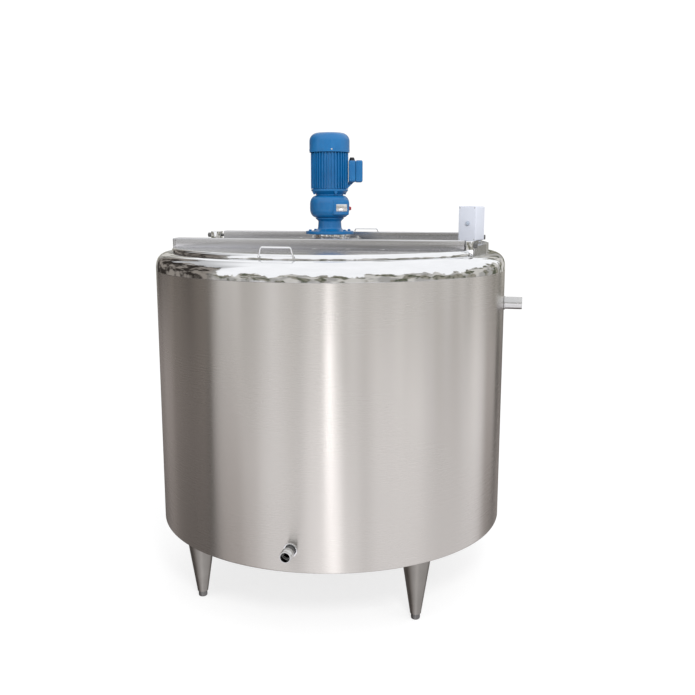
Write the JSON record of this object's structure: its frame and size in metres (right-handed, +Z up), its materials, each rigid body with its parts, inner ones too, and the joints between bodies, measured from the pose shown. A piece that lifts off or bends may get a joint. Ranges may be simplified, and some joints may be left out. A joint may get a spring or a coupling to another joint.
{
  "type": "bulk milk tank",
  "caption": "Round jacketed milk cooling tank on tapered legs, with half lids hinged on a central bridge and a top-mounted geared agitator.",
  "frame": {"origin": "on the floor, on the tank's vertical axis", "axes": "+Z up, -Y towards the front, where the drain points, +X towards the jacket outlet and the control box"},
  "size_m": [1.47, 1.535, 1.8138],
  "materials": {
    "brushed_cladding": "vertical and circular brushed stainless steel, satin",
    "polished_stainless": "mirror polished stainless steel",
    "mill_stainless": "smooth stainless steel sheet",
    "lid_sheet": "fine brushed stainless steel sheet",
    "blue_enamel": "gloss blue machine enamel",
    "white_housing": "matt white moulded plastic",
    "black_plastic": "matt black plastic and rubber",
    "grey_plastic": "pale blue-grey moulded plastic",
    "red_plug": "red moulded plastic",
    "insulation_foam": "rigid foam",
    "dark_steel": "plain dark machined steel"
  },
  "bodies": {
    "tank": {"outer_shell": "brushed_cladding", "front_left_leg": "brushed_cladding", "front_right_leg": "brushed_cladding", "rear_left_leg": "brushed_cladding", "rear_right_leg": "brushed_cladding", "polished_shoulder": "polished_stainless", "drain_collar": "polished_stainless", "drain_union": "polished_stainless", "spacer_ring": "polished_stainless", "front_left_pivot_block": "polished_stainless", "front_right_pivot_block": "polished_stainless", "rear_left_pivot_block": "polished_stainless", "rear_right_pivot_block": "polished_stainless", "temperature_probe": "polished_stainless", "bottom_plate": "mill_stainless", "inner_vessel": "mill_stainless", "vessel_bottom": "mill_stainless", "cooling_jacket": "mill_stainless", "drain_pipe": "mill_stainless", "jacket_outlet": "mill_stainless", "jacket_inlet": "mill_stainless", "bridge": "mill_stainless", "motor_plate": "mill_stainless", "rating_plate": "mill_stainless", "control_box_bracket": "mill_stainless", "gearbox_output_housing": "blue_enamel", "gearbox_housing": "blue_enamel", "motor_end_shield": "blue_enamel", "motor_frame": "blue_enamel", "fan_cowl": "blue_enamel", "terminal_box": "blue_enamel", "terminal_box_cover": "blue_enamel", "control_box_body": "white_housing", "control_box_cover": "white_housing", "shaft_seal": "black_plastic", "cable_gland": "black_plastic", "oil_plug": "red_plug", "insulation": "insulation_foam", "front_left_hinge_pin": "dark_steel", "front_right_hinge_pin": "dark_steel", "rear_left_hinge_pin": "dark_steel", "rear_right_hinge_pin": "dark_steel", "stator_core": "dark_steel"},
    "front_lid": {"front_lid": "lid_sheet", "front_lid_handle": "polished_stainless"},
    "rear_lid": {"rear_lid": "lid_sheet", "rear_lid_handle": "polished_stainless"},
    "agitator": {"gearbox_output_shaft": "dark_steel", "cycloid_disc": "dark_steel", "shaft_coupling": "mill_stainless", "agitator_shaft": "polished_stainless", "upper_paddle": "polished_stainless", "lower_paddle": "polished_stainless"},
    "motor_rotor": {"motor_rotor": "dark_steel", "cooling_fan": "black_plastic"},
    "selector": {"selector_knob": "grey_plastic"},
    "front_left_foot": {"front_left_foot": "dark_steel"},
    "front_right_foot": {"front_right_foot": "dark_steel"},
    "rear_left_foot": {"rear_left_foot": "dark_steel"},
    "rear_right_foot": {"rear_right_foot": "dark_steel"}
  },
  "joints": [
    {"name": "front_lid_hinge", "type": "hinge", "parent": "tank", "child": "front_lid", "pos_m": [0, -0.241, 1.383], "axis": [-1, 0, 0], "range_deg": [0, 100]},
    {"name": "rear_lid_hinge", "type": "hinge", "parent": "tank", "child": "rear_lid", "pos_m": [0, 0.241, 1.395], "axis": [1, 0, 0], "range_deg": [0, 100]},
    {"name": "agitator_spin", "type": "hinge", "parent": "tank", "child": "agitator", "pos_m": [-0.0055, 0, 1], "axis": [0, 0, 1], "continuous": true},
    {"name": "rotor_spin", "type": "hinge", "parent": "tank", "child": "motor_rotor", "pos_m": [-0.0055, 0, 1.65], "axis": [0, 0, 1], "continuous": true},
    {"name": "selector_turn", "type": "hinge", "parent": "tank", "child": "selector", "pos_m": [0.55371, -0.0357, 1.459], "axis": [-0.3338, -0.9426, 0], "range_deg": [-45, 45]},
    {"name": "front_left_foot_screw", "type": "slide", "parent": "tank", "child": "front_left_foot", "axis": [0, 0, -1], "range_m": [0, 0.03]},
    {"name": "front_right_foot_screw", "type": "slide", "parent": "tank", "child": "front_right_foot", "axis": [0, 0, -1], "range_m": [0, 0.03]},
    {"name": "rear_left_foot_screw", "type": "slide", "parent": "tank", "child": "rear_left_foot", "axis": [0, 0, -1], "range_m": [0, 0.03]},
    {"name": "rear_right_foot_screw", "type": "slide", "parent": "tank", "child": "rear_right_foot", "axis": [0, 0, -1], "range_m": [0, 0.03]}
  ],
  "couplings": [
    {"joint": "rotor_spin", "follows": "agitator_spin", "ratio": -17}
  ]
}
